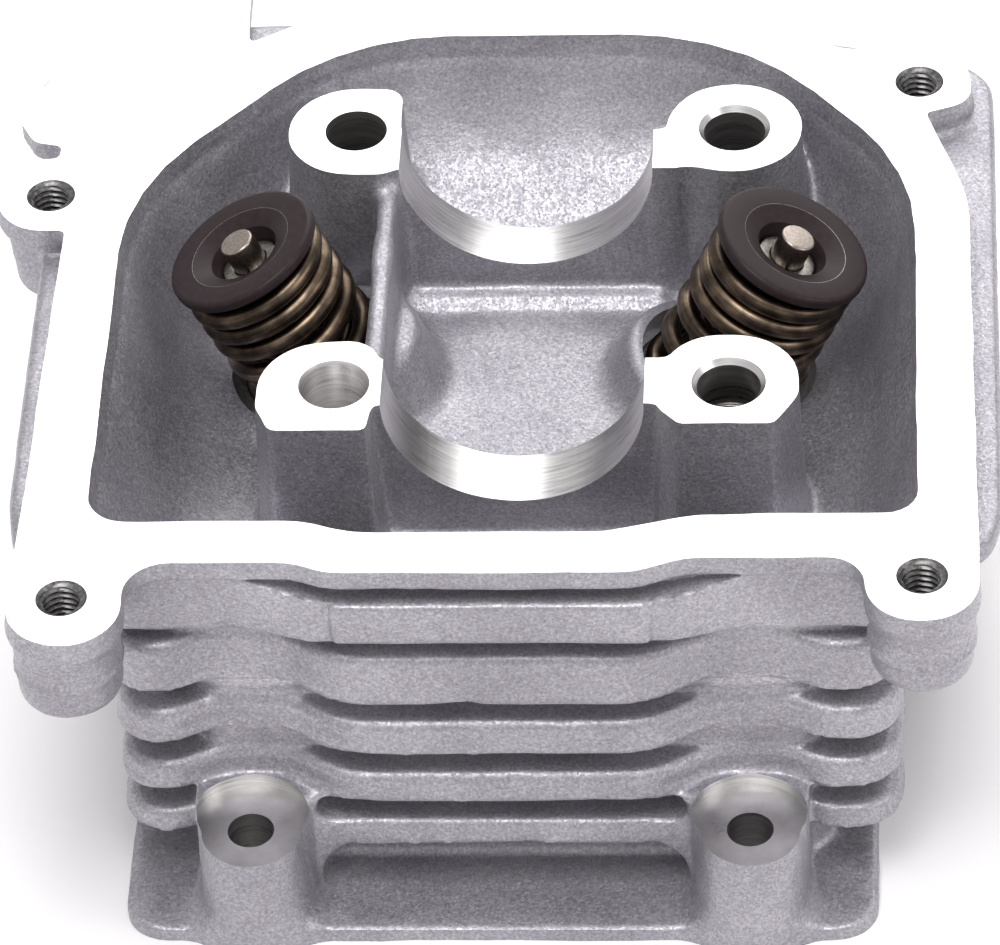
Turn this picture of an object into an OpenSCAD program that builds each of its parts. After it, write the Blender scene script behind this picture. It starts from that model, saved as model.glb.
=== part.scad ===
// Cylinder head of a small air-cooled single, two valves, one overhead camshaft.
// Frame: origin at the centre of the four stud holes on the cylinder gasket face,
// +X towards the intake side, +Y away from the chain tunnel, +Z up to the rocker cover face.

/* [Casting] */
// Height from the cylinder gasket face to the cover face
head_h = 63; // [58:0.5:68]
// Distance between the cylinder studs, both ways
stud_pitch = 54; // [53:0.1:55]
// Diameter of the stud clearance holes
stud_hole_d = 8.8; // [8.4:0.1:9.2]
// Height of the rocker bay's floor
bay_floor_z = 39; // [38:0.5:40]
// Thickness of the machined cover flange
rim_t = 3.5; // [3:0.5:5]
// Thickness of the gasket flange plate
deck_t = 2.5; // [2:0.5:4]
// Thickness of a cooling fin at its edge
fin_t = 5; // [4:0.5:5.5]

/* [Camshaft cradle] */
// Radius of the half-round bearing seats
saddle_r = 18; // [17:0.5:18]
// Sideways place of the camshaft's axis
cam_x = -2.5; // [-3:0.1:-2]

/* [Valve gear] */
// Tilt of each valve from the vertical
valve_tilt = 24.5; // [23:0.5:25]
// Overall length of a valve
valve_l = 62; // [61.5:0.1:62.5]
// Diameter of both valve stems
stem_d = 5; // [4.9:0.1:5.1]
// Diameter of the intake valve's head
intake_head_d = 25; // [24:0.5:25.5]
// Diameter of the exhaust valve's head
exhaust_head_d = 22; // [21:0.5:22.5]
// Outside diameter of the outer springs
outer_spring_d = 21.6; // [21:0.2:21.8]
// Wire diameter of the outer springs
outer_wire_d = 2.9; // [2.6:0.1:2.9]
// Outside diameter of the inner springs
inner_spring_d = 15; // [14.6:0.1:15.1]
// Wire diameter of the inner springs
inner_wire_d = 1.8; // [1.6:0.1:1.9]
// Diameter of the spring retainers
retainer_d = 22.4; // [21.6:0.2:23]

/* [Screws and ports] */
// Tapping diameter of the cover, flange and shroud screws
screw_tap_d = 5; // [4.8:0.1:5.2]
// Diameter of the clearance holes in the two front lugs
lug_hole_d = 6.4; // [6.2:0.1:6.8]
// Diameter of the intake port
intake_port_d = 21; // [19:0.5:21.5]
// Diameter of the exhaust port
exhaust_port_d = 20; // [18:0.5:21]
// Tapping diameter of the spark plug hole
plug_tap_d = 9; // [8.8:0.1:9.4]

/* [Hidden] */
$fn = 48;
eps = 0.02;

cast_colour = [0.72, 0.71, 0.73];
steel_colour = [0.55, 0.54, 0.53];
dark_steel_colour = [0.26, 0.24, 0.24];
spring_colour = [0.55, 0.47, 0.36];
rubber_colour = [0.13, 0.13, 0.13];
bronze_colour = [0.62, 0.50, 0.30];

// Valve gear, measured along each stem from its tip, downwards
valve_y = 0.8;
tip_z = head_h + 2;
intake_tip_x = 36.4;
exhaust_tip_x = -42.3;
retainer_top = 1.2;
retainer_flange_t = 1.8;
spring_top = retainer_top + retainer_flange_t;
spring_l = 28.3;
inner_spring_top = spring_top + 1.4;
seat_washer_t = 1;
pocket_s = spring_top + spring_l + seat_washer_t;
pocket_r = 12.3;
guide_top = 25.5;
guide_bottom = 49;
guide_r = 4.75;
seal_top = 21.8;
seal_bottom = 28.5;
seal_r = 5.3;
keeper_top = 4.2;
keeper_l = 4;
groove_s = 5.2;
fit_gap = 0.04;
seat_gap = 0.05;
head_margin = 1.2;
seat_face = 1.8;
insert_l = 5.5;
insert_wall = 1.7;

// Stud towers and bearing webs
stud = stud_pitch / 2;
tower_r = 9.7;
front_web = [-31.2, -22.1];
back_web = [18.5, 26.5];

// Outlines: each point is [x, y, corner radius]
rim_outer = [
    [-68, -77.9, 7.5], [-52.8, -77.9, 7.5], [-52.8, -62.2, 6], [-30.5, -62.2, 10],
    [-26, -64.4, 10], [14.5, -64.4, 10], [21.5, -61.7, 10], [45.5, -61.7, 5],
    [45.5, -73.9, 7.1], [60.7, -73.9, 7.4], [60.1, 11, 22], [54.2, 30, 0.6],
    [60.6, 32.4, 4], [60.6, 44.3, 7], [42.2, 44.4, 6], [34, 50.6, 14], [20, 55.8, 30],
    [-22, 55.9, 40], [-35, 52.4, 16], [-43.8, 47, 0.6], [-44.4, 67.5, 5], [-60.1, 67.5, 7],
    [-75.8, 30, 3], [-73, 25, 2.5], [-68.9, 24.2, 0.9], [-69.1, 21.4, 0.9],
    [-77.1, 20.8, 6.6], [-77.1, 5.7, 7], [-67, 5.7, 0.7]
];
bay_top = [
    [-58.9, -54.2, 5], [-30, -54.2, 12], [-23, -56.5, 12], [11, -56.5, 12], [23, -53.3, 12],
    [52.6, -53.1, 4.5], [52.6, 17.3, 32], [27.4, 48.4, 30], [-29.7, 48.2, 18], [-58.9, 14.6, 20]
];
bay_bottom = [
    [-46, -53, 8], [41, -52, 8], [41, 17, 10], [24, 31, 10], [-30, 31, 10], [-46, 17, 10]
];
top_plate = [
    [-68.5, -57.5, 6], [61.5, -57.5, 6], [64, -50, 18], [64, 45, 8], [36, 53, 12],
    [20, 57, 30], [-62, 57, 10], [-70.8, 28, 8], [-70.5, -45, 20]
];
wall_outline = [
    [-65.5, -60, 6], [58.5, -60, 6], [58.5, 14, 26], [34, 48.5, 20], [20, 53.5, 20],
    [-22, 53.7, 30], [-38, 50, 16], [-65.5, 18, 20]
];
fin_outline = [
    [-57.2, -61.2, 6], [-49, -61.2, 7], [-43, -58.2, 9], [-34, -58.2, 9], [-26, -63.6, 14],
    [16, -63.6, 14], [25, -58.2, 9], [34, -58.2, 9], [40, -61, 9], [50.4, -61, 7],
    [50.4, 36, 9], [38, 48.5, 12], [-44, 48.5, 12], [-57.2, 34, 9]
];
bay_base_outline = [
    [-53.5, -57.6, 7], [48, -57.6, 7], [48, 18, 12], [30, 40, 12], [-34, 40, 12], [-53.5, 18, 12]
];
core_outline = [
    [-47, -57.2, 5], [40.5, -57.2, 5], [40.5, 30, 8], [30, 38, 8], [-36, 38, 8], [-47, 30, 8]
];
deck_outline = [
    [-57.3, -72, 6], [47, -72, 6], [47, 34, 9], [34, 44, 9], [-40, 44, 9], [-57.3, 34, 9]
];
tunnel_outline = [
    [-34, -54.3, 5], [30.5, -54.3, 5], [30.5, -38, 5], [-34, -38, 5]
];
// Cooling fins: the height of each one's underside
fin_bottoms = [10.3, 19.6, 29.2, 40.4];
label_block = [-26, 17, -65, 48.3, 57.5];

// Cover screw holes, front lugs, port and plug axes
cover_holes = [[-69.6, 13.3], [53.3, 36.9], [-60.7, -68.9], [53.1, -65.3]];
cover_hole_l = 12;
cover_boss_bottom = 48.3;
lug_x = [-38.8, 29.6];
lug_y = -67.7;
lug_top = 17.5;
lug_r = 6.8;
intake_exit = [58, valve_y, 20];
exhaust_exit = [-62, valve_y, 19];
flange_screw_pitch_in = 48;
flange_screw_pitch_ex = 44;
flange_t = 7;
plug_start = [-3, 9, 6.5];
plug_rise = 35;
plug_seat = 20;

function unit(v) = v / norm(v);

// Points of the arc that rounds corner p between its neighbours a and b
function corner_arc(a, p, b) =
    let (
        c = [p[0], p[1]],
        u = unit([a[0], a[1]] - c),
        v = unit([b[0], b[1]] - c),
        half = acos(u * v) / 2,
        mid = c + unit(u + v) * p[2] / sin(half),
        from = c + u * p[2] / tan(half) - mid,
        to = c + v * p[2] / tan(half) - mid,
        a0 = atan2(from[1], from[0]),
        turn = (atan2(to[1], to[0]) - a0 + 540) % 360 - 180,
        steps = max(2, ceil(abs(turn) / 11))
    )
    [for (i = [0:steps]) mid + p[2] * [cos(a0 + turn * i / steps), sin(a0 + turn * i / steps)]];

// Closed outline from corners with their own radii
module outline(corners) {
    n = len(corners);
    polygon([
        for (i = [0:n - 1])
            each corner_arc(corners[(i + n - 1) % n], corners[i], corners[(i + 1) % n])
    ]);
}

module slab(corners, z0, z1) {
    translate([0, 0, z0])
        linear_extrude(height = z1 - z0)
            outline(corners);
}

// Places children on a valve's axis: their +Z runs from the tip down the stem
module on_valve(tip_x, side) {
    translate([tip_x, valve_y, tip_z])
        rotate([0, 180 + side * valve_tilt, 0])
            children();
}

module on_intake() { on_valve(intake_tip_x, 1) children(); }
module on_exhaust() { on_valve(exhaust_tip_x, -1) children(); }

// Cylinder from one point to another
module rod(from, to, r) {
    d = to - from;
    translate(from)
        rotate([0, acos(d[2] / norm(d)), atan2(d[1], d[0])])
            cylinder(h = norm(d), r = r);
}

// ---- casting, solid shapes ----

module cover_bosses() {
    for (p = [[-60.4, -70.3], [53.1, -66.4]])
        translate([p[0], p[1], cover_boss_bottom])
            cylinder(h = head_h - rim_t - cover_boss_bottom + eps, r1 = 6.7, r2 = 7.3);
    translate([-69.6, 13.3, cover_boss_bottom])
        cylinder(h = head_h - rim_t - cover_boss_bottom + eps, r1 = 5.6, r2 = 7.2);
    translate([53.3, 37, cover_boss_bottom])
        cylinder(h = head_h - rim_t - cover_boss_bottom + eps, r1 = 6, r2 = 7.1);
}

module air_boss() {
    translate([-62.5, 37.5, 40])
        cylinder(h = head_h - rim_t - 40 + eps, r = 12);
}

module fins() {
    for (z = fin_bottoms)
        slab(fin_outline, z, z + fin_t);
    slab(wall_outline, 48.3, head_h - rim_t + eps);
    translate([label_block[0], label_block[2], label_block[3]])
        cube([label_block[1] - label_block[0], 10, label_block[4] - label_block[3]]);
}

module front_lugs() {
    for (x = lug_x)
        translate([x, lug_y, 0]) {
            cylinder(h = lug_top, r1 = 7.4, r2 = lug_r);
            translate([-lug_r + 0.6, 0, 0])
                cube([2 * lug_r - 1.2, 12, lug_top]);
        }
}

// Oval flange with two screw ears, seen along X
module port_flange(exit, depth, pitch, r) {
    x0 = exit[0] > 0 ? exit[0] - depth : exit[0];
    translate([x0, exit[1], exit[2]])
        rotate([90, 0, 90])
            linear_extrude(height = depth)
                union() {
                    circle(r = r + 4);
                    for (side = [-1, 1])
                        translate([side * pitch / 2, 0])
                            circle(r = 6.5);
                    square([pitch, 11], center = true);
                }
}

module port_walls() {
    rod([10, valve_y, 13.5], intake_exit - [3, 0, 0], intake_port_d / 2 + 3);
    rod([-14, valve_y, 13.5], exhaust_exit + [3, 0, 0], exhaust_port_d / 2 + 3);
    port_flange(intake_exit, flange_t, flange_screw_pitch_in, intake_port_d / 2);
    port_flange(exhaust_exit, flange_t, flange_screw_pitch_ex, exhaust_port_d / 2);
}

module tower(side_x, side_y) {
    translate([side_x * stud, side_y * stud, deck_t / 2])
        cylinder(h = head_h - deck_t / 2, r = tower_r);
}

// Towers, cut flat towards the cradle and the chain, with ears on the intake side
module towers() {
    difference() {
        for (sx = [-1, 1], sy = [-1, 1])
            tower(sx, sy);
        translate([-20.6, -50, 20])
            cube([12, 100, 50]);
        translate([-50, -50, 20])
            cube([100, 50 - 36.2, 50]);
    }
    for (y = [front_web[0], back_web[0]])
        translate([cam_x + saddle_r, y, bay_floor_z - 1])
            cube([10, 8, head_h - bay_floor_z + 1]);
}

module bearing_webs() {
    for (w = [front_web, back_web])
        translate([-22, w[0], bay_floor_z - 2])
            cube([41, w[1] - w[0], head_h - bay_floor_z + 2]);
}

module bay_ribs() {
    translate([-23.6, -20, bay_floor_z - 1])
        cube([2.8, 40, head_h - 3 - bay_floor_z + 1]);
    translate([-20.8, 16, bay_floor_z - 1])
        cube([38, 3, 2]);
}

module pocket_walls() {
    for (side = [-1, 1])
        on_valve(side > 0 ? intake_tip_x : exhaust_tip_x, side)
            translate([0, 0, 25])
                cylinder(h = 18, r = 15.2);
}

// ---- casting, cut shapes ----

module bay_cavity() {
    difference() {
        intersection() {
            slab(bay_top, bay_floor_z, head_h + 1);
            hull() {
                slab(bay_bottom, bay_floor_z, bay_floor_z + eps);
                slab(bay_top, head_h, head_h + 1);
            }
        }
        intersection() {
            union() {
                towers();
                bearing_webs();
                bay_ribs();
            }
            translate([-100, -100, 0])
                cube([200, 200, head_h]);
        }
        on_exhaust()
            translate([0, 0, 25])
                cylinder(h = 18, r = 15.2);
    }
}

module valve_cuts(tip_x, side, head_r) {
    on_valve(tip_x, side) {
        translate([0, 0, -4])
            cylinder(h = pocket_s + 4, r = pocket_r);
        cylinder(h = valve_l, r = guide_r);
        translate([0, 0, valve_l - head_margin - seat_face - insert_l + 2])
            cylinder(h = insert_l, r = head_r + insert_wall);
        translate([0, 0, valve_l - head_margin])
            cylinder(h = 24, r = head_r + 1.2);
        translate([0, 0, valve_l - 8.5])
            cylinder(h = 4, r = head_r - seat_face - 0.6);
    }
}

// Half-round seats of the camshaft bearings, bored through both webs
module cradle_cut() {
    translate([cam_x, front_web[0] - 5, head_h])
        rotate([-90, 0, 0])
            cylinder(h = back_web[1] - front_web[0] + 10, r = saddle_r, $fn = 96);
}

module chamber() {
    translate([(intake_tip_x + exhaust_tip_x) / 2 + 0.3, 0.3, -21.6])
        sphere(r = 33.1, $fn = 72);
}

module plug_cut() {
    translate(plug_start)
        rotate([plug_rise - 90, 0, 0]) {
            cylinder(h = 60, r = plug_tap_d / 2);
            translate([0, 0, plug_seat])
                cylinder(h = 60, r = 10);
        }
}

module screw_holes() {
    for (p = cover_holes)
        translate([p[0], p[1], head_h - cover_hole_l])
            cylinder(h = cover_hole_l + 1, r = screw_tap_d / 2);
    for (x = lug_x)
        translate([x, lug_y, -1])
            cylinder(h = lug_top + 20, r = lug_hole_d / 2);
    for (x = lug_x)
        translate([x, lug_y, lug_top])
            cylinder(h = 30, r = 9);
    for (side = [-1, 1]) {
        translate([intake_exit[0] - 12, valve_y + side * flange_screw_pitch_in / 2, intake_exit[2]])
            rotate([0, 90, 0])
                cylinder(h = 14, r = screw_tap_d / 2);
        translate([exhaust_exit[0] - 2, valve_y + side * flange_screw_pitch_ex / 2, exhaust_exit[2]])
            rotate([0, 90, 0])
                cylinder(h = 14, r = screw_tap_d / 2);
    }
}

module stud_holes() {
    for (sx = [-1, 1], sy = [-1, 1])
        translate([sx * stud, sy * stud, -1])
            cylinder(h = head_h + 2, r = stud_hole_d / 2);
    for (p = [[1, 1], [-1, -1], [1, -1]])
        translate([p[0] * stud, p[1] * stud, head_h - 0.8])
            cylinder(h = 2, r = stud_hole_d / 2 + 0.5);
}

module port_cuts() {
    rod([13.2, valve_y, 14], intake_exit + [2, 0, 0.3], intake_port_d / 2);
    rod([-19, valve_y, 14], exhaust_exit + [-2, 0, 0.3], exhaust_port_d / 2);
}

module head_casting() {
    color(cast_colour)
        difference() {
            union() {
                slab(rim_outer, head_h - rim_t, head_h);
                slab(top_plate, 55.5, 58.8);
                slab(core_outline, 0, 40);
                slab(bay_base_outline, 35.5, 50);
                slab(deck_outline, 0, deck_t);
                cover_bosses();
                air_boss();
                fins();
                front_lugs();
                port_walls();
            }
            bay_cavity();
            slab(tunnel_outline, -1, head_h - 8);
            cradle_cut();
            valve_cuts(intake_tip_x, 1, intake_head_d / 2);
            valve_cuts(exhaust_tip_x, -1, exhaust_head_d / 2);
            chamber();
            plug_cut();
            stud_holes();
            screw_holes();
            port_cuts();
        }
}

// ---- valve gear ----

module valve_body(head_r) {
    r = stem_d / 2 - 0.02;
    rotate_extrude()
        polygon([
            [0, 0], [r - 0.3, 0], [r, 0.3], [r, groove_s], [r - 0.5, groove_s + 0.2],
            [r - 0.5, groove_s + 1.3], [r, groove_s + 1.5], [r, valve_l - 12.5],
            [r + 0.6, valve_l - 9], [r + 2.2, valve_l - 5.6],
            [head_r - seat_face, valve_l - head_margin - seat_face],
            [head_r, valve_l - head_margin], [head_r, valve_l], [0, valve_l]
        ]);
}

// Conical halves that lock the retainer on the stem groove
module keeper(side) {
    intersection() {
        translate([0, 0, keeper_top])
            difference() {
                cylinder(h = keeper_l, r1 = 4.4, r2 = 3.8);
                translate([0, 0, -1])
                    cylinder(h = keeper_l + 2, r = stem_d / 2 + 0.02);
            }
        translate([side > 0 ? 0.35 : -8.35, -8, 0])
            cube([8, 16, 20]);
    }
}

module retainer() {
    rotate_extrude()
        polygon([
            [retainer_d / 2 - 0.5, retainer_top], [retainer_d / 2, retainer_top + 0.5],
            [retainer_d / 2, spring_top - 0.3], [retainer_d / 2 - 0.3, spring_top],
            [7.4, spring_top], [7.4, inner_spring_top], [5.5, inner_spring_top],
            [5.3, 8.4], [3.9, 8.4], [4.6, keeper_top - 0.2], [5.1, retainer_top + 1.1],
            [7.6, retainer_top]
        ]);
}

// Helical spring with round wire: heights is a list of [turn, height below the top face]
module coil_spring(mean_r, wire_r, heights) {
    sides = 8;
    per_turn = 18;
    turns = heights[len(heights) - 1][0];
    rings = round(turns * per_turn);
    points = [
        for (i = [0:rings], k = [0:sides - 1])
            let (
                a = 360 * i / per_turn,
                b = 360 * k / sides,
                r = mean_r + wire_r * cos(b),
                h = lookup(i / per_turn, heights) + wire_r * sin(b)
            )
            [r * cos(a), r * sin(a), h]
    ];
    faces = [
        [for (k = [0:sides - 1]) k],
        for (i = [0:rings - 1], k = [0:sides - 1])
            let (k2 = (k + 1) % sides, a = i * sides, b = a + sides)
            each [[a + k, b + k, b + k2], [a + k, b + k2, a + k2]],
        [for (k = [0:sides - 1]) rings * sides + sides - 1 - k]
    ];
    polyhedron(points, faces, convexity = 12);
}

module outer_spring() {
    w = outer_wire_d / 2;
    translate([0, 0, spring_top])
        coil_spring(outer_spring_d / 2 - w, w, [
            [0, w + 0.05], [1, 4.6], [2, 8], [3, 11.6], [4, 16.4], [5, 21.8], [5.8, spring_l - w - 0.35],
            [6.4, spring_l - w - 0.05]
        ]);
}

module inner_spring() {
    w = inner_wire_d / 2;
    l = spring_l - 1.4;
    translate([0, 0, inner_spring_top])
        coil_spring(inner_spring_d / 2 - w, w, [
            [0, w + 0.05], [1, w + 2.2], [2, w + 4.9], [7, l - w - 2.2], [8, l - w - 0.05]
        ]);
}

module spring_seat() {
    translate([0, 0, pocket_s - seat_washer_t + eps])
        difference() {
            cylinder(h = seat_washer_t - 2 * eps, r = 11.4);
            translate([0, 0, -1])
                cylinder(h = 3, r = 5.45);
        }
}

module stem_seal() {
    rotate_extrude()
        polygon([
            [stem_d / 2 + 0.05, seal_top], [4, seal_top], [4.4, seal_top + 1.6], [seal_r, guide_top],
            [seal_r, seal_bottom], [guide_r + 0.03, seal_bottom], [guide_r + 0.03, guide_top - 0.1],
            [stem_d / 2 + 0.05, guide_top - 0.1]
        ]);
}

module valve_guide() {
    difference() {
        translate([0, 0, guide_top])
            cylinder(h = guide_bottom - guide_top, r = guide_r);
        translate([0, 0, guide_top - 1])
            cylinder(h = guide_bottom - guide_top + 2, r = stem_d / 2 - 0.02 + fit_gap);
    }
}

module seat_insert(head_r) {
    top = valve_l - head_margin - seat_face - insert_l + 2;
    throat_r = head_r - seat_face - 0.6;
    rotate_extrude()
        polygon([
            [throat_r, top + eps], [head_r + insert_wall - eps, top + eps],
            [head_r + insert_wall - eps, top + insert_l - eps],
            [head_r + seat_gap + 0.2, top + insert_l - eps],
            [head_r + 0.2 + seat_gap - 2, top + insert_l - 2 - eps],
            [throat_r, top + 2.6]
        ]);
}

module intake_valve() { color(steel_colour) on_intake() valve_body(intake_head_d / 2); }
module intake_retainer() { color(dark_steel_colour) on_intake() retainer(); }
module intake_keeper_left() { color(steel_colour) on_intake() keeper(-1); }
module intake_keeper_right() { color(steel_colour) on_intake() keeper(1); }
module intake_outer_spring() { color(spring_colour) on_intake() outer_spring(); }
module intake_inner_spring() { color(spring_colour) on_intake() inner_spring(); }
module intake_spring_seat() { color(steel_colour) on_intake() spring_seat(); }
module intake_stem_seal() { color(rubber_colour) on_intake() stem_seal(); }
module intake_valve_guide() { color(bronze_colour) on_intake() valve_guide(); }
module intake_seat_insert() { color(steel_colour) on_intake() seat_insert(intake_head_d / 2); }

module exhaust_valve() { color(steel_colour) on_exhaust() valve_body(exhaust_head_d / 2); }
module exhaust_retainer() { color(dark_steel_colour) on_exhaust() retainer(); }
module exhaust_keeper_left() { color(steel_colour) on_exhaust() keeper(-1); }
module exhaust_keeper_right() { color(steel_colour) on_exhaust() keeper(1); }
module exhaust_outer_spring() { color(spring_colour) on_exhaust() outer_spring(); }
module exhaust_inner_spring() { color(spring_colour) on_exhaust() inner_spring(); }
module exhaust_spring_seat() { color(steel_colour) on_exhaust() spring_seat(); }
module exhaust_stem_seal() { color(rubber_colour) on_exhaust() stem_seal(); }
module exhaust_valve_guide() { color(bronze_colour) on_exhaust() valve_guide(); }
module exhaust_seat_insert() { color(steel_colour) on_exhaust() seat_insert(exhaust_head_d / 2); }

// Hollow locating dowel, pressed down inside the intake-side front stud hole
module stud_hole_dowel() {
    color(steel_colour)
        translate([stud, -stud, head_h - 20])
            difference() {
                cylinder(h = 12, r = stud_hole_d / 2 - eps);
                translate([0, 0, -1])
                    cylinder(h = 14, r = 4);
            }
}

head_casting();
stud_hole_dowel();
intake_valve();
intake_retainer();
intake_keeper_left();
intake_keeper_right();
intake_outer_spring();
intake_inner_spring();
intake_spring_seat();
intake_stem_seal();
intake_valve_guide();
intake_seat_insert();
exhaust_valve();
exhaust_retainer();
exhaust_keeper_left();
exhaust_keeper_right();
exhaust_outer_spring();
exhaust_inner_spring();
exhaust_spring_seat();
exhaust_stem_seal();
exhaust_valve_guide();
exhaust_seat_insert();
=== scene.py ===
import math

import bpy
import numpy as np
import openvdb
from mathutils import Matrix, Vector


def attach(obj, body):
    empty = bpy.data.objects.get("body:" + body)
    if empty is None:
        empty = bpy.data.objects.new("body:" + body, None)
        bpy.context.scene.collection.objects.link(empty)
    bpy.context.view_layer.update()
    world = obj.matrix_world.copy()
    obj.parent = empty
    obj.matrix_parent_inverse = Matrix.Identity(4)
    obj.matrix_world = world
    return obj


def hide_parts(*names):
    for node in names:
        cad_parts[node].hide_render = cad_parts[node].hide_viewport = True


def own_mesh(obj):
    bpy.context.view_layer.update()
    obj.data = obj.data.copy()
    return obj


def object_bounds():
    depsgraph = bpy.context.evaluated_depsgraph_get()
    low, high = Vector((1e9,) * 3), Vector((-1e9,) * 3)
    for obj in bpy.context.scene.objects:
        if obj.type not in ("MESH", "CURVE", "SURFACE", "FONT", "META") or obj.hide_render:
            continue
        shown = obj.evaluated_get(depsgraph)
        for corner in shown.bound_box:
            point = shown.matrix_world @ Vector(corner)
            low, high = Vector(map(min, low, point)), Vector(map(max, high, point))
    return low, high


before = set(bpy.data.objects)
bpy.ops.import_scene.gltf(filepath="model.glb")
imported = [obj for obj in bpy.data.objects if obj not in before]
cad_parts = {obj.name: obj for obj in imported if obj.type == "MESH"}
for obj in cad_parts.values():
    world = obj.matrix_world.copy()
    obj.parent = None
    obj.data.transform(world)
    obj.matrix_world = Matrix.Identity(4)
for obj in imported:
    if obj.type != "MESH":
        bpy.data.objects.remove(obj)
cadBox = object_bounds()
print("frame loaded")

mm = 0.001
rng = np.random.RandomState(11)


cameraLook = {
    "place": (0.0504, -0.6895, 0.6613),  # metres, in the row frame
    "downDegrees": 42.766,
    "turnDegrees": -4.777,
    "rollDegrees": 3.555,
    "lens": 235.76,
}


def addCamera(look):
    down = math.radians(look["downDegrees"])
    turn = math.radians(look["turnDegrees"])
    roll = math.radians(look["rollDegrees"])
    ahead = Vector((math.sin(turn) * math.cos(down), math.cos(turn) * math.cos(down), -math.sin(down)))
    level = Vector((math.cos(turn), -math.sin(turn), 0))
    below = ahead.cross(level)
    right = level * math.cos(roll) + below * math.sin(roll)
    under = -level * math.sin(roll) + below * math.cos(roll)
    turned = Matrix((right, -under, -ahead)).transposed().to_4x4()
    data = bpy.data.cameras.new("camera")
    data.sensor_width = 36
    data.lens = look["lens"]
    data.clip_end = 10
    camera = bpy.data.objects.new("camera", data)
    camera.matrix_world = Matrix.Translation(look["place"]) @ turned
    bpy.context.scene.collection.objects.link(camera)
    bpy.context.scene.camera = camera


addCamera(cameraLook)
print("camera placed")


def signedVolume(points, faces):
    # sum over triangles of a . (b x c) / 6, each quad taken as two triangles
    a, b, c = points[faces[:, 0]], points[faces[:, 1]], points[faces[:, 2]]
    total = np.einsum("ij,ij->", a, np.cross(b, c))
    if faces.shape[1] == 4:
        d = points[faces[:, 3]]
        total += np.einsum("ij,ij->", a, np.cross(c, d))
    return total / 6


def meshFrom(name, points, quads, caps=(), quadSlots=None, uv=None, sharpDegrees=32):
    # points in mm; quads as rows of indices; caps are rings of indices
    flip = signedVolume(points - points.mean(0), quads) < 0
    if flip:
        quads = quads[:, ::-1]
        caps = [ring[::-1] for ring in caps]
    mesh = bpy.data.meshes.new(name)
    loops = np.concatenate([quads.ravel()] + [np.asarray(ring) for ring in caps]).astype(np.int32)
    sizes = np.concatenate([np.full(len(quads), quads.shape[1]), [len(ring) for ring in caps]]).astype(np.int32)
    mesh.vertices.add(len(points))
    mesh.vertices.foreach_set("co", (points * mm).astype(np.float32).ravel())
    mesh.loops.add(len(loops))
    mesh.loops.foreach_set("vertex_index", loops)
    mesh.polygons.add(len(sizes))
    mesh.polygons.foreach_set("loop_start", np.concatenate([[0], np.cumsum(sizes)[:-1]]).astype(np.int32))
    if quadSlots is not None:
        slots = np.concatenate([quadSlots, np.zeros(len(caps), int)]).astype(np.int32)
        mesh.polygons.foreach_set("material_index", slots)
    mesh.update(calc_edges=True)
    if uv is not None:
        layer = mesh.uv_layers.new(name="along")
        layer.data.foreach_set("uv", uv[loops].astype(np.float32).ravel())
    mesh.validate()
    mesh.shade_smooth()
    mesh.set_sharp_from_angle(angle=math.radians(sharpDegrees))
    piece = bpy.data.objects.new(name, mesh)
    bpy.context.scene.collection.objects.link(piece)
    return piece


def gridQuads(rows, columns, closeRows, closeColumns):
    i, j = np.meshgrid(
        np.arange(rows if closeRows else rows - 1), np.arange(columns if closeColumns else columns - 1), indexing="ij"
    )
    down, across = (i + 1) % rows, (j + 1) % columns
    quads = [i * columns + j, down * columns + j, down * columns + across, i * columns + across]
    return np.stack(quads, -1).reshape(-1, 4)


def roundedPath(corners, closed=True, stepDegrees=12):
    # corners are (a, b, radius); each corner becomes an arc tangent to its two sides, in steps of a few degrees
    path, count = [], len(corners)
    for i, (a, b, radius) in enumerate(corners):
        here = np.array((a, b), float)
        if radius <= 0 or (not closed and i in (0, count - 1)):
            path.append(here)
            continue
        u = np.array(corners[i - 1][:2]) - here
        v = np.array(corners[(i + 1) % count][:2]) - here
        u, v = u / np.linalg.norm(u), v / np.linalg.norm(v)
        half = math.acos(max(-1, min(1, float(u @ v)))) / 2
        bisector = (u + v) / np.linalg.norm(u + v)
        middle = here + bisector * radius / math.sin(half)
        first, last = here + u * radius / math.tan(half) - middle, here + v * radius / math.tan(half) - middle
        start = math.atan2(first[1], first[0])
        turn = (math.atan2(last[1], last[0]) - start + 3 * math.pi) % (2 * math.pi) - math.pi
        steps = max(2, math.ceil(abs(math.degrees(turn)) / stepDegrees))
        angles = start + turn * np.linspace(0, 1, steps + 1)
        path.extend(middle + radius * np.stack([np.cos(angles), np.sin(angles)], 1))
    return np.array(path)


def axisFrame(start, along):
    # three unit vectors: two across the axis and the axis itself
    w = np.array(along, float) / np.linalg.norm(along)
    v = np.array((0.0, 1.0, 0.0)) if abs(w[1]) < 0.9 else np.array((1.0, 0.0, 0.0))
    u = np.cross(v, w)
    u /= np.linalg.norm(u)
    return np.array(start, float), u, np.cross(w, u), w


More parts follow.
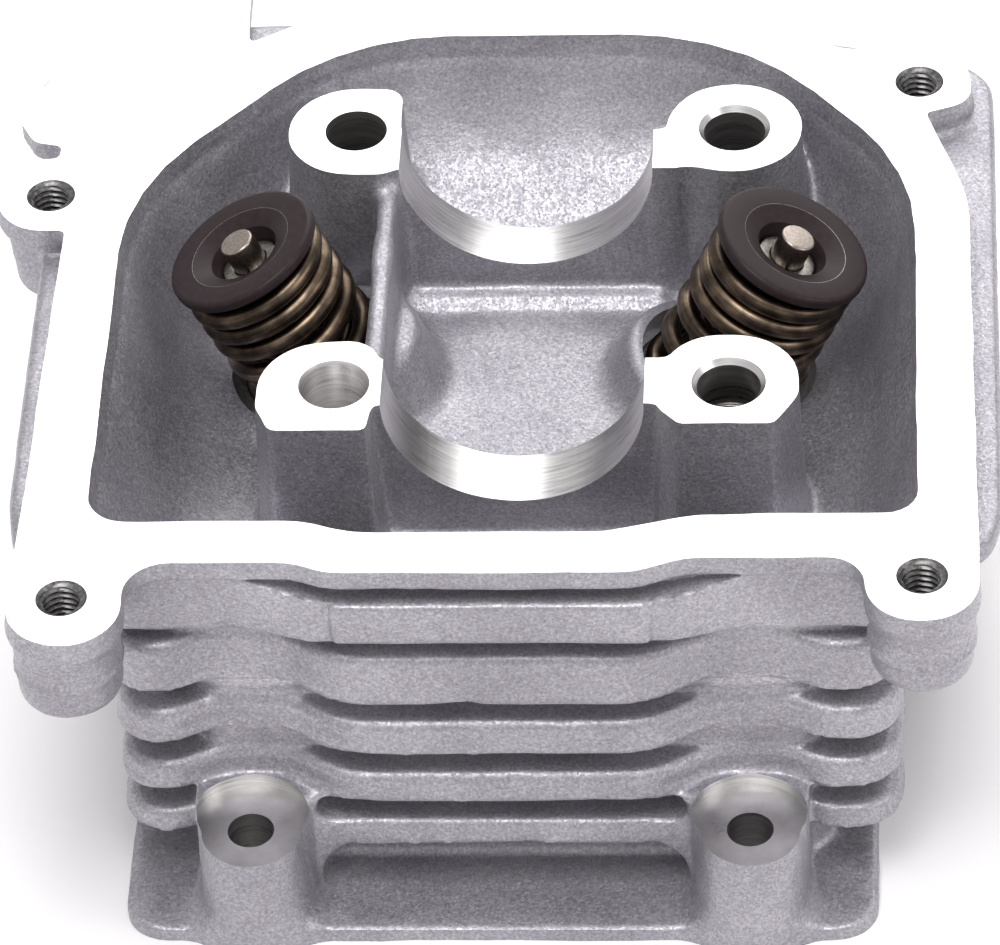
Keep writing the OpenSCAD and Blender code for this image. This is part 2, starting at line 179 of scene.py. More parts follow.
def turned(name, path, axis, segments=96, closed=True, arc=None, pathSlots=None, sharpDegrees=32):
    # a point is start + s * axis + r * (cos t * across + sin t * other across), for path point (r, s) and angle t
    start, u, v, w = axis
    whole = arc is None
    angles = np.linspace(0, 2 * np.pi, segments, endpoint=False)
    if not whole:
        angles = np.radians(np.linspace(arc[0], arc[1], segments))
    r, s = path[:, 0][None, :, None], path[:, 1][None, :, None]
    ring = np.cos(angles)[:, None, None] * u + np.sin(angles)[:, None, None] * v
    points = (start + s * w + r * ring).reshape(-1, 3)
    count = len(path)
    quads = gridQuads(segments, count, whole, closed)
    caps = []
    if not whole:
        caps = [np.arange(count), (segments - 1) * count + np.arange(count)[::-1]]
    elif not closed:
        caps = [np.arange(segments)[::-1] * count, np.arange(segments) * count + count - 1]
    slots = None if pathSlots is None else np.tile(np.asarray(pathSlots), segments if whole else segments - 1)
    return meshFrom(name, points, quads, caps, slots, sharpDegrees=sharpDegrees)


def colour(hexadecimal):
    # sRGB hex to linear: c / 12.92 below 0.04045, ((c + 0.055) / 1.055) ** 2.4 above
    c = np.array([int(hexadecimal[i:i + 2], 16) for i in (1, 3, 5)]) / 255
    linear = np.where(c <= 0.04045, c / 12.92, ((c + 0.055) / 1.055) ** 2.4)
    return (*linear.tolist(), 1.0)


def addNode(tree, kind, sockets=None, links=None, stops=None, **settings):
    # stops are a colour ramp's (position, colour) pairs
    made = tree.nodes.new(kind)
    for key, value in settings.items():
        setattr(made, key, value)
    for key, value in (sockets or {}).items():
        made.inputs[key].default_value = value
    for key, source in (links or {}).items():
        tree.links.new(source, made.inputs[key])
    if stops:
        bar = made.color_ramp.elements
        bar[0].position, bar[0].color = stops[0]
        bar[1].position, bar[1].color = stops[-1]
        for place, shade in stops[1:-1]:
            bar.new(place).color = shade
    return made


def startMaterial(name, metallic, roughness):
    material = bpy.data.materials.new(name)
    material.use_nodes = True
    tree = material.node_tree
    shader = tree.nodes["Principled BSDF"]
    shader.inputs["Metallic"].default_value = metallic
    shader.inputs["Roughness"].default_value = roughness
    place = addNode(tree, "ShaderNodeTexCoord").outputs["Object"]
    return material, tree, shader, place


castLook = {
    "dark": "#7d7a82", "middle": "#a4a1a8", "light": "#cdcbcf",
    "grainMm": 0.4,  # shot-blasted grain is near 0.2 mm, drawn coarser so that it shows
    "mottleMm": 14,
    "bumpMm": 0.075,
}


def castAluminium():
    # sand-cast then shot-blasted aluminium: a pale grey skin with a fine sparkling grain and soft cloudy patches
    look = castLook
    material, tree, shader, place = startMaterial("castAluminium", 0.7, 0.46)
    grain = addNode(
        tree, "ShaderNodeTexNoise", {"Scale": 1000 / look["grainMm"], "Detail": 3.0, "Roughness": 0.65},
        {"Vector": place},
    )
    cells = addNode(tree, "ShaderNodeTexVoronoi", {"Scale": 1000 / (look["grainMm"] * 0.8)}, {"Vector": place})
    mottle = addNode(tree, "ShaderNodeTexNoise", {"Scale": 1000 / look["mottleMm"], "Detail": 4.0}, {"Vector": place})
    sparkle = addNode(tree, "ShaderNodeSeparateColor", links={"Color": cells.outputs["Color"]})
    mixed = addNode(tree, "ShaderNodeMath", {1: 0.55}, {0: grain.outputs["Fac"]}, operation="MULTIPLY")
    for share, source in ((0.14, sparkle.outputs["Red"]), (0.3, mottle.outputs["Fac"])):
        mixed = addNode(
            tree, "ShaderNodeMath", {1: share}, {0: source, 2: mixed.outputs[0]}, operation="MULTIPLY_ADD",
        )
    stops = [(0.25, colour(look["dark"])), (0.5, colour(look["middle"])), (0.75, colour(look["light"]))]
    shade = addNode(tree, "ShaderNodeValToRGB", links={"Fac": mixed.outputs[0]}, stops=stops)
    tree.links.new(shade.outputs["Color"], shader.inputs["Base Color"])
    rough = addNode(tree, "ShaderNodeMapRange", {"To Min": 0.34, "To Max": 0.6}, {"Value": sparkle.outputs["Green"]})
    tree.links.new(rough.outputs[0], shader.inputs["Roughness"])
    bump = addNode(
        tree, "ShaderNodeBump", {"Strength": 0.6, "Distance": look["bumpMm"] * mm},
        {"Height": grain.outputs["Fac"]},
    )
    dents = addNode(tree, "ShaderNodeTexNoise", {"Scale": 1000 / 2.2, "Detail": 2.0}, {"Vector": place})
    bump = addNode(
        tree, "ShaderNodeBump", {"Strength": 0.55, "Distance": 0.12 * mm},
        {"Height": dents.outputs["Fac"], "Normal": bump.outputs["Normal"]},
    )
    tree.links.new(bump.outputs["Normal"], shader.inputs["Normal"])
    return material


def milledAluminium():
    # face-milled aluminium: almost white, with a faint sweep of cutter arcs
    material, tree, shader, place = startMaterial("milledAluminium", 0.55, 0.35)
    # the cutter sweeps wide arcs, here 1.6 mm apart so that they can show
    moved = addNode(tree, "ShaderNodeMapping", {"Location": (0.03, 0.19, 0)}, {"Vector": place})
    arcs = addNode(
        tree, "ShaderNodeTexWave", {"Scale": 1000 / 1.6 / 20, "Distortion": 0.6, "Detail": 2.0, "Detail Scale": 3.0},
        {"Vector": moved.outputs[0]}, wave_type="RINGS", rings_direction="Z",
    )
    fine = addNode(tree, "ShaderNodeTexNoise", {"Scale": 1000 / 0.7, "Detail": 3.0}, {"Vector": place})
    stops = [(0.3, colour("#f3f2f1")), (0.7, colour("#fcfbfa"))]
    shade = addNode(tree, "ShaderNodeValToRGB", links={"Fac": fine.outputs["Fac"]}, stops=stops)
    tree.links.new(shade.outputs["Color"], shader.inputs["Base Color"])
    rough = addNode(tree, "ShaderNodeMapRange", {"To Min": 0.28, "To Max": 0.42}, {"Value": arcs.outputs["Fac"]})
    tree.links.new(rough.outputs[0], shader.inputs["Roughness"])
    bump = addNode(tree, "ShaderNodeBump", {"Strength": 0.15, "Distance": 0.02 * mm}, {"Height": arcs.outputs["Fac"]})
    tree.links.new(bump.outputs["Normal"], shader.inputs["Normal"])
    return material


def boredAluminium(name, run):
    # bored aluminium: bright, with fine tool lines running round the bore; run squeezes the pattern along the lines
    material, tree, shader, place = startMaterial(name, 1.0, 0.28)
    stretched = addNode(tree, "ShaderNodeMapping", {"Scale": run}, {"Vector": place})
    lines = addNode(
        tree, "ShaderNodeTexNoise", {"Scale": 1000 / 0.45, "Detail": 4.0, "Roughness": 0.6},
        {"Vector": stretched.outputs[0]},
    )
    stops = [(0.3, colour("#bdbbbb")), (0.7, colour("#e9e7e6"))]
    shade = addNode(tree, "ShaderNodeValToRGB", links={"Fac": lines.outputs["Fac"]}, stops=stops)
    tree.links.new(shade.outputs["Color"], shader.inputs["Base Color"])
    rough = addNode(tree, "ShaderNodeMapRange", {"To Min": 0.2, "To Max": 0.42}, {"Value": lines.outputs["Fac"]})
    tree.links.new(rough.outputs[0], shader.inputs["Roughness"])
    bump = addNode(tree, "ShaderNodeBump", {"Strength": 0.3, "Distance": 0.02 * mm}, {"Height": lines.outputs["Fac"]})
    tree.links.new(bump.outputs["Normal"], shader.inputs["Normal"])
    return material


def steelFinish(name, dark, light, metallic, roughness, grainMm, bumpMm, gloss=0.5):
    material, tree, shader, place = startMaterial(name, metallic, roughness)
    shader.inputs["Specular IOR Level"].default_value = gloss
    grain = addNode(
        tree, "ShaderNodeTexNoise", {"Scale": 1000 / grainMm, "Detail": 4.0, "Roughness": 0.6}, {"Vector": place},
    )
    stops = [(0.3, colour(dark)), (0.72, colour(light))]
    shade = addNode(tree, "ShaderNodeValToRGB", links={"Fac": grain.outputs["Fac"]}, stops=stops)
    tree.links.new(shade.outputs["Color"], shader.inputs["Base Color"])
    spread = {"To Min": roughness * 0.75, "To Max": roughness * 1.3}
    rough = addNode(tree, "ShaderNodeMapRange", spread, {"Value": grain.outputs["Fac"]})
    tree.links.new(rough.outputs[0], shader.inputs["Roughness"])
    bump = addNode(tree, "ShaderNodeBump", {"Strength": 0.4, "Distance": bumpMm * mm}, {"Height": grain.outputs["Fac"]})
    tree.links.new(bump.outputs["Normal"], shader.inputs["Normal"])
    return material


def temperedWire():
    # oil-tempered spring wire: bronze-brown oxide, rubbed golden along the drawn length
    material, tree, shader, place = startMaterial("oilTemperedWire", 1.0, 0.34)
    along = addNode(tree, "ShaderNodeUVMap", uv_map="along").outputs[0]
    stretched = addNode(tree, "ShaderNodeMapping", {"Scale": (0.02, 1, 1)}, {"Vector": along})
    streaks = addNode(
        tree, "ShaderNodeTexNoise", {"Scale": 1.4, "Detail": 5.0, "Roughness": 0.7}, {"Vector": stretched.outputs[0]},
    )
    patches = addNode(tree, "ShaderNodeTexNoise", {"Scale": 1000 / 3.5, "Detail": 3.0}, {"Vector": place})
    mixed = addNode(tree, "ShaderNodeMath", {1: 0.5}, {0: streaks.outputs["Fac"]}, operation="MULTIPLY")
    sources = {0: patches.outputs["Fac"], 2: mixed.outputs[0]}
    mixed = addNode(tree, "ShaderNodeMath", {1: 0.5}, sources, operation="MULTIPLY_ADD")
    stops = [(0.36, colour("#2b2521")), (0.5, colour("#54483d")), (0.64, colour("#8d7b68"))]
    shade = addNode(tree, "ShaderNodeValToRGB", links={"Fac": mixed.outputs[0]}, stops=stops)
    tree.links.new(shade.outputs["Color"], shader.inputs["Base Color"])
    rough = addNode(tree, "ShaderNodeMapRange", {"To Min": 0.24, "To Max": 0.46}, {"Value": streaks.outputs["Fac"]})
    tree.links.new(rough.outputs[0], shader.inputs["Roughness"])
    bump = addNode(
        tree, "ShaderNodeBump", {"Strength": 0.35, "Distance": 0.03 * mm}, {"Height": streaks.outputs["Fac"]},
    )
    tree.links.new(bump.outputs["Normal"], shader.inputs["Normal"])
    return material


finish = {
    "cast": castAluminium(),
    "milled": milledAluminium(),
    "bored": boredAluminium("boredCradle", (0.06, 1, 0.06)),
    "drilled": boredAluminium("drilledHoles", (0.05, 0.05, 1)),
    # black oxide on a turned steel retainer: brown-black, satin
    "blackOxide": steelFinish("blackOxideSteel", "#2a2122", "#31282a", 0.0, 0.36, 1.1, 0.002, 0.13),
    # its edge ring, given a bright bare-steel finish as a painted highlight
    "paintedHighlightEdge": steelFinish("paintedHighlightOxideEdge", "#6a6365", "#a19a9a", 0.95, 0.3, 0.6, 0.01),
    # ground and hardened valve steel: light, faintly brown
    "valve": steelFinish("groundValveSteel", "#8a8079", "#b5aaa1", 1.0, 0.3, 0.4, 0.01),
    # bright turned steel of the keepers, seats and inserts
    "bright": steelFinish("turnedBrightSteel", "#6d6965", "#a19c96", 1.0, 0.34, 0.5, 0.01),
    # dark nitrile rubber of the stem seals
    "rubber": steelFinish("nitrileRubber", "#151515", "#242424", 0.0, 0.6, 0.8, 0.03),
    # sintered bronze of the guides
    "bronze": steelFinish("sinteredBronze", "#7c6238", "#a88a55", 1.0, 0.45, 0.4, 0.03),
    "wire": temperedWire(),
    # tapped threads, greyed by cutting oil
    "tapped": steelFinish("tappedThread", "#4d4b4b", "#8a8888", 0.9, 0.36, 0.6, 0.01),
}
print("materials made")


# A field is a signed distance in mm on a regular grid, negative inside the metal.

casting = {
    "stepMm": 0.55,
    "triangles": 135000,
    "top": 63.0,
    "rimThickness": 3.5,
    "bayFloor": 39.0,
    "frontWeb": (-31.2, -22.1),
    "backWeb": (18.5, 26.5),
    "saddleRadius": 18.0,
    "camX": -2.5,
    "fins": ((10.8, 14.3), (19.0, 23.5), (28.1, 33.4), (37.6, 45.9)),
    "flashMm": 0.55,
    "wobbleMm": 0.16,
}

# outlines seen from above, as (x, y, corner radius) in mm
rimOuter = [
    (-68, -77.9, 7.5), (-52.8, -77.9, 7.5), (-52.8, -62.2, 6), (-30.5, -62.2, 10),
    (-26, -64.4, 10), (14.5, -64.4, 10), (21.5, -61.7, 10), (45.5, -61.7, 5),
    (45.5, -73.9, 7.1), (60.7, -73.9, 7.4), (60.1, 11, 22), (54.2, 30, 0.6),
    (60.6, 32.4, 4), (60.6, 44.3, 7), (42.2, 44.4, 6), (34, 50.6, 14), (20, 55.8, 30),
    (-22, 55.9, 40), (-35, 52.4, 16), (-43.8, 47, 0.6), (-44.4, 67.5, 5), (-60.1, 67.5, 7),
    (-75.8, 30, 3), (-73, 25, 2.5), (-68.9, 24.2, 0.9), (-69.1, 21.4, 0.9),
    (-77.1, 20.8, 6.6), (-77.1, 5.7, 7), (-67, 5.7, 0.7),
]
bayTop = [
    (-58.9, -54.2, 5), (-30, -54.2, 12), (-23, -56.5, 12), (11, -56.5, 12), (23, -53.3, 12),
    (52.6, -53.1, 4.5), (52.6, 17.3, 36), (27.4, 48.4, 36), (-29.7, 48.2, 34), (-58.9, 14.6, 36),
]
bayBottom = [(-46, -53, 8), (41, -52, 8), (41, 17, 10), (24, 31, 10), (-30, 31, 10), (-46, 17, 10)]
topPlate = [
    (-68.5, -57.5, 6), (61.5, -57.5, 6), (64, -50, 18), (64, 45, 8), (36, 53, 12),
    (20, 57, 30), (-62, 57, 10), (-70.8, 28, 8), (-70.5, -45, 20),
]
wallOutline = [
    (-65.5, -60, 6), (58.5, -60, 6), (58.5, 14, 26), (34, 48.5, 20), (20, 53.5, 20),
    (-22, 53.7, 30), (-38, 50, 16), (-65.5, 18, 20),
]
finOutline = [
    (-57.2, -61.2, 6), (-49, -61.2, 7), (-43, -58.2, 9), (-34, -58.2, 9), (-26, -63.6, 14),
    (16, -63.6, 14), (25, -58.2, 9), (34, -58.2, 9), (40, -61, 9), (50.4, -61, 7),
    (50.4, 36, 9), (38, 48.5, 12), (-44, 48.5, 12), (-57.2, 34, 9),
]
bayBase = [(-53.5, -57.6, 7), (48, -57.6, 7), (48, 18, 12), (30, 40, 12), (-34, 40, 12), (-53.5, 18, 12)]
coreOutline = [(-47, -57.2, 5), (40.5, -57.2, 5), (40.5, 30, 8), (30, 38, 8), (-36, 38, 8), (-47, 30, 8)]
deckOutline = [(-57.3, -72, 6), (47, -72, 6), (47, 34, 9), (34, 44, 9), (-40, 44, 9), (-57.3, 34, 9)]
shoulderOutline = [(-46, -59, 2), (-29, -63.9, 5), (20, -63.9, 5), (37, -59, 2), (37, -50, 2), (-46, -50, 2)]
frontLeftTower = [
    (-35.4, -36.2, 1.6), (-22.3, -36.2, 1), (-21, -27, 4), (-21.2, -18.2, 4.5), (-37.5, -18.2, 9.5), (-37.5, -31.5, 3),
]
frontRightTower = [
    (20.4, -35.3, 1), (33.2, -35.3, 1.5), (36.5, -29.5, 4), (36.5, -17.3, 9), (18, -17.3, 8), (17.6, -32.3, 1.5),
]
backLeftTower = [(-36.6, 17.4, 9.2), (-20.6, 17.4, 3), (-20.6, 36.4, 3), (-36.6, 36.4, 9.2)]
backRightTower = [(17.4, 17.4, 9.2), (36.6, 17.4, 9.4), (36.6, 36.6, 9.4), (17.4, 36.6, 9.2)]
tunnelOutline = [(-34, -54.3, 5), (30.5, -54.3, 5), (30.5, -38, 5), (-34, -38, 5)]
coverHoles = [(-69.6, 13.3), (53.3, 36.9), (-60.7, -68.9), (53.1, -65.3)]
lugs = [(-38.8, -67.7), (29.6, -67.7)]

lowCorner, highCorner = np.array((-79.0, -80.0, -2.5)), np.array((66.0, 70.0, 66.0))
step = casting["stepMm"]
axes = [np.arange(a, b, step, dtype=np.float32) for a, b in zip(lowCorner, highCorner)]
flatX, flatY = np.meshgrid(axes[0], axes[1], indexing="ij")
gridX, gridY, gridZ = axes[0][:, None, None], axes[1][None, :, None], axes[2][None, None, :]


def flatDistance(corners):
    # distance to the nearest side of the outline, negative where a ray crosses the outline an odd number of times
    path = roundedPath(corners)
    nearest, crossings = np.full(flatX.shape, 1e9), np.zeros(flatX.shape, bool)
    for (ax, ay), (bx, by) in zip(path, np.roll(path, -1, 0)):
        dx, dy = bx - ax, by - ay
        length = dx * dx + dy * dy
        if length < 1e-12:
            continue
        t = np.clip(((flatX - ax) * dx + (flatY - ay) * dy) / length, 0, 1)
        nearest = np.minimum(nearest, (flatX - ax - t * dx) ** 2 + (flatY - ay - t * dy) ** 2)
        if ay != by:
            crossings ^= ((ay > flatY) != (by > flatY)) & (flatX < (flatY - ay) * dx / dy + ax)
    return (np.sqrt(nearest) * np.where(crossings, -1, 1)).astype(np.float32)[:, :, None]


def slab(flat, low, high, edge=1.0, draft=0.0):
    # an outline carried from low to high with edges rounded by a radius, leaning in by draft per mm from its middle
    across = flat + edge + draft * np.abs(gridZ - (low + high) / 2)
    up = np.abs(gridZ - (low + high) / 2) - (high - low) / 2 + edge
    return np.minimum(np.maximum(across, up), 0) + np.hypot(np.maximum(across, 0), np.maximum(up, 0)) - edge


def post(x, y, low, high, radiusLow, radiusHigh, edge=1.0):
    # an upright round post whose radius changes evenly with height
    radius = radiusLow + (radiusHigh - radiusLow) * (gridZ - low) / (high - low)
    across = np.hypot(gridX - x, gridY - y) - radius + edge
    up = np.abs(gridZ - (low + high) / 2) - (high - low) / 2 + edge
    return np.minimum(np.maximum(across, up), 0) + np.hypot(np.maximum(across, 0), np.maximum(up, 0)) - edge


def block(low, high, edge=1.0):
    # a box with rounded edges
    parts = [
        np.abs(g - (a + b) / 2) - (b - a) / 2 + edge
        for g, a, b in zip((gridX, gridY, gridZ), low, high)
    ]
    outside = np.sqrt(sum(np.maximum(p, 0) ** 2 for p in parts))
    return outside + np.minimum(np.maximum(np.maximum(parts[0], parts[1]), parts[2]), 0) - edge


def rod(start, end, radius, edge=1.0):
    # a round rod between two points: distance from the axis and from the ends, edges rounded
    start, end = np.array(start, np.float32), np.array(end, np.float32)
    length = np.linalg.norm(end - start)
    w = (end - start) / length
    s = (gridX - start[0]) * w[0] + (gridY - start[1]) * w[1] + (gridZ - start[2]) * w[2]
    square = (gridX - start[0]) ** 2 + (gridY - start[1]) ** 2 + (gridZ - start[2]) ** 2 - s * s
    across = np.sqrt(np.maximum(square, 0)) - radius + edge
    up = np.abs(s - length / 2) - length / 2 + edge
    return np.minimum(np.maximum(across, up), 0) + np.hypot(np.maximum(across, 0), np.maximum(up, 0)) - edge


def joined(a, b, blend=1.5):
    # smaller of two fields, with a fillet about as wide as blend where they meet
    h = np.clip(0.5 + 0.5 * (b - a) / blend, 0, 1)
    return b + (a - b) * h - blend * h * (1 - h)


def cutBy(a, b, blend=1.0):
    return -joined(-a, b, blend)


def wobble(sizeMm):
    # smooth noise: a coarse random lattice spread over the grid with smoothstep weights along each axis
    spread = []
    counts = []
    for axis in axes:
        place = (axis - axis[0]) / sizeMm
        cell = np.floor(place).astype(int)
        t = place - cell
        t = t * t * (3 - 2 * t)
        weights = np.zeros((len(axis), cell.max() + 2), np.float32)
        weights[np.arange(len(axis)), cell] = 1 - t
        weights[np.arange(len(axis)), cell + 1] = t
        spread.append(weights)
        counts.append(weights.shape[1])
    lattice = rng.uniform(-1, 1, counts).astype(np.float32)
    return np.einsum("ia,jb,kc,abc->ijk", *spread, lattice, optimize=True)


valveGear = {
    "tilt": 24.5,
    "y": 0.8,
    "tipZ": 65.0,
    "tipX": {"intake": 36.4, "exhaust": -42.3},
    "headRadius": {"intake": 12.5, "exhaust": 11.0},
}


def stemAxis(which):
    side = 1 if which == "intake" else -1
    lean = math.radians(valveGear["tilt"])
    start = (valveGear["tipX"][which], valveGear["y"], valveGear["tipZ"])
    return axisFrame(start, (-side * math.sin(lean), 0, -math.cos(lean)))


def onStem(which, s):
    start, _, _, w = stemAxis(which)
    return start + s * w


def castField():
    c = casting
    top, floorZ = c["top"], c["bayFloor"]
    fin = flatDistance(finOutline)
    core = flatDistance(coreOutline)
    rim = flatDistance(rimOuter)
    ragged = wobble(2.3)
    field = slab(core, -4, 40, 1.0)
    base = flatDistance(bayBase)
    field = joined(field, slab(base, 35.5, 52, 1.5), 2)
    # behind the front wall the bowl's outside stands further out
    field = joined(field, np.maximum(slab(base - 7, 37, 52, 2), -50 - gridY), 2)
    field = joined(field, slab(flatDistance(wallOutline), 48.0, 60.5, 0.9), 0.9)
    # the port walls and their oval flanges
    field = joined(field, rod((10, 0.8, 13.5), (57, 0.8, 20), 13.5), 3)
    field = joined(field, rod((-14, 0.8, 13.5), (-60, 0.8, 19), 13), 3)
    for x0, x1, z, r, pitch in ((51, 59, 20, 14.5, 48), (-63, -55, 19, 14, 44)):
        across = np.hypot(gridY - 0.8, gridZ - z) - r
        for side in (-1, 1):
            across = joined(across, np.hypot(gridY - 0.8 - side * pitch / 2, gridZ - z) - 6.5, 1)
        across = joined(across, np.maximum(np.abs(gridY - 0.8) - pitch / 2, np.abs(gridZ - z) - 5.5), 2)
        flange = np.maximum(across, np.abs(gridX - (x0 + x1) / 2) - (x1 - x0) / 2)
        field = joined(field, flange, 2)
    # fins, each with a ragged flash line just above its lower edge
    for low, high in c["fins"]:
        # a round top edge and a square lower one
        one = np.maximum(slab(fin, low - 4, high, 1.6, 0.04), low - gridZ)
        field = joined(field, one, 0.9)
        flash = slab(fin - c["flashMm"] * (0.4 + 0.9 * ragged), low + 0.1, low + 1.2, 0.4)
        field = joined(field, flash, 0.4)
    field = joined(field, slab(flatDistance(deckOutline), -3, 2.2, 0.7), 2.0)
    # a front panel with round-cornered openings, so that the lugs and the two lowest fins arch into each other
    panel = block((-46.5, -63.0, -3), (37.3, -55, 19.2), 0.8)
    for x0, x1, z0, z1, radius in (
        (-30.2, 21.0, -12, 10.8, 7.5), (-30.2, 21.0, 14.3, 19.0, 2.3),
        (-70, -47.2, -12, 10.8, 6), (38.0, 70, -12, 10.8, 6),
    ):
        across = np.abs(gridX - (x0 + x1) / 2) - (x1 - x0) / 2 + radius
        up = np.abs(gridZ - (z0 + z1) / 2) - (z1 - z0) / 2 + radius
        opening = np.minimum(np.maximum(across, up), 0) + np.hypot(np.maximum(across, 0), np.maximum(up, 0)) - radius
        panel = cutBy(panel, opening, 0.6)
    field = joined(field, panel, 0.9)
    # lugs, flaring into the deck
    for x, y in lugs:
        field = joined(field, post(x, y, -3, 18.5, 7.8, 6.8, 0.4), 4.0)
        field = joined(field, block((x - 7.4, y + 1, -3), (x + 7.4, -55, 18.6), 0.8), 1.5)
    # plain label plate, with shoulders that fade into the wall on both sides
    shoulder = slab(flatDistance(shoulderOutline), 49.4, 60, 0.8)
    shoulder = np.maximum(shoulder, gridZ - 57.0 - 2.6 * np.clip((np.abs(gridX + 4.5) - 22) / 15, 0, 1))
    field = joined(field, shoulder, 0.6)
    field = joined(field, block((-26, -65, 50), (17, -58, 57.1), 0.9), 0.5)
    # the thin top plate outside the wall, and the cover flange
    field = joined(field, slab(flatDistance(topPlate), 55.5, 58.8, 1.3), 1.2)
    field = joined(field, slab(rim, top - c["rimThickness"], top + 3, 0.7), 0.9)
    for x, y, low, r0, r1 in (
        (-60.4, -70.3, 47.6, 6.9, 7.4), (53.1, -66.4, 48.2, 6.9, 7.4),
        (-69.6, 13.3, 47.6, 5.8, 7.2), (53.3, 37, 47.6, 6.1, 7.2),
    ):
        field = joined(field, post(x, y, low, top - 1, r0, r1, 2.2), 2.0)
        # the mould's parting line round the boss
        field = joined(field, post(x, y, 53.2, 54.0, r0 + 0.65, r0 + 0.65, 0.35), 0.4)
    field = joined(field, post(-63, 36, 40, top - 1, 10.8, 11.1, 1.5), 1.5)
    # the bay, a bowl whose walls steepen towards the cover flange
    rise = np.clip((gridZ - floorZ) / (top - floorZ), 0, 1) ** 0.62
    bowl = flatDistance(bayBottom) * (1 - rise) + flatDistance(bayTop) * rise
    spoon = 9 + 12 * np.clip((gridY - 14) / 22, 0, 1)
    bay = -joined(-bowl, gridZ - floorZ, spoon)
    # the towers widen a little downwards; the two front ones are flat towards the chain
    spread = 0.045 * (top - gridZ)
    inside = np.maximum(flatDistance(frontLeftTower), -(gridY + 36.2)) - spread
    for other in (flatDistance(frontRightTower), flatDistance(backLeftTower), flatDistance(backRightTower)):
        inside = np.minimum(inside, other - spread)
    for low, high in (c["frontWeb"], c["backWeb"]):
        inside = joined(inside, block((-22, low, 30), (19, high, top + 4), 0.3), 1.2)
        ear = low + (0.9 if low < 0 else 0)
        inside = joined(inside, block((c["camX"] + c["saddleRadius"] - 0.3, ear, 30), (24, high, top + 4), 0.5), 1.0)
    inside = joined(inside, block((-23.6, -20, 30), (-20.8, 20, 60.2), 1.2), 2.5)
    inside = joined(inside, block((-21, 16, 37), (17, 19.5, 40.6), 1.3), 1.5)
    inside = joined(inside, rod(onStem("exhaust", 24.5), onStem("exhaust", 43), 15.2, 1.5), 2)
    inside = joined(inside, rod(onStem("intake", 27), onStem("intake", 43), 14.2, 1.5), 2)
    field = cutBy(field, bay, 1.6)
    field = np.where(bay < 1.5, joined(field, np.maximum(inside, bay - 1.5), 2.6), field)
    # a rough ledge just inside the front of the flange
    field = joined(field, block((-28, -57.5, 56), (18, -53.8, 60.4), 0.9), 0.6)
    field = cutBy(field, slab(flatDistance(tunnelOutline), -6, 54, 1.0), 1.5)
    return field + c["wobbleMm"] * wobble(7.0) * (1 + 0 * field) + 0.05 * ragged


def castMesh():
    field = castField().astype(np.float32)
    grid = openvdb.FloatGrid(9.0)
    grid.copyFromArray(np.ascontiguousarray(np.clip(field, -9, 9)))
    points, triangles, quads = grid.convertToPolygons(0.0, 0.0)
    # known fault: clipping z lays the lowest points on the gasket cutter's plane and tears that face;
    # only x and y should be clipped
    points = np.clip(points * step + lowCorner, np.array(cadBox[0]) / mm, np.array(cadBox[1]) / mm)
    print("casting surface", len(points), "points")
    piece = meshFrom("castingBody", points, quads.astype(np.int64), sharpDegrees=180)
    if len(triangles):
        print("loose triangles", len(triangles))
    share = casting["triangles"] / (2 * len(quads))
    if share < 1:
        thinner = piece.modifiers.new("thinner", "DECIMATE")
        thinner.ratio = share
        thinner.use_collapse_triangulate = True
        settle(piece)
    return piece


def settle(piece):
    # the mesh with its modifiers applied
    graph = bpy.context.evaluated_depsgraph_get()
    graph.update()
    old = piece.data
    piece.data = bpy.data.meshes.new_from_object(piece.evaluated_get(graph))
    piece.modifiers.clear()
    bpy.data.meshes.remove(old)


castingSlots = ("cast", "milled", "bored", "tapped", "drilled")


def boxCutter(name, low, high, slot):
    x, y, z = zip(low, high)
    points = np.array([(x[i], y[j], z[k]) for i in (0, 1) for j in (0, 1) for k in (0, 1)], float)
    quads = np.array([(0, 1, 3, 2), (4, 6, 7, 5), (0, 4, 5, 1), (2, 3, 7, 6), (0, 2, 6, 4), (1, 5, 7, 3)])
    return meshFrom(name, points, quads, quadSlots=np.full(6, slot))


def boreCutter(name, corners, axis, segments=64, slot=2):
    # a turned cutter from (radius, distance) corners, its two ends closed
    path = np.array(corners, float)
    made = turned(name, path, axis, segments, closed=False, pathSlots=np.full(len(path) - 1, slot))
    made.data.polygons.foreach_set("material_index", np.full(len(made.data.polygons), slot, np.int32))
    return made


def threadCutter(name, axis, length, tapRadius, pitch, chamfer, segments=32, perPitch=6):
    # radius = tap radius + depth * triangle wave of (distance / pitch - angle / full turn), opened at the mouth
    start, u, v, w = axis
    s = np.linspace(-1.5, length, int((length + 1.5) / pitch * perPitch) + 1)
    angles = np.linspace(0, 2 * np.pi, segments, endpoint=False)
    phase = (s[:, None] / pitch - angles[None, :] / (2 * np.pi)) % 1
    radius = tapRadius + 0.54 * pitch * np.clip(1.15 - np.abs(2 * phase - 1) * 1.6, 0, 0.92)
    radius = np.where(s[:, None] > length - 1.5, tapRadius, radius)
    mouth = tapRadius + 0.5 * pitch + chamfer - np.maximum(s[:, None], 0)
    radius = np.where(s[:, None] < chamfer, np.maximum(radius, mouth), radius)
    ring = np.cos(angles)[:, None] * u + np.sin(angles)[:, None] * v
    points = start + s[:, None, None] * w + radius[:, :, None] * ring[None]
    rows = len(s)
    quads = gridQuads(rows, segments, False, True)
    first = np.arange(segments)
    caps = [first, (rows - 1) * segments + first[::-1]]
    made = meshFrom(name, points.reshape(-1, 3), quads, caps)
    made.data.polygons.foreach_set("material_index", np.full(len(made.data.polygons), 3, np.int32))
    return made


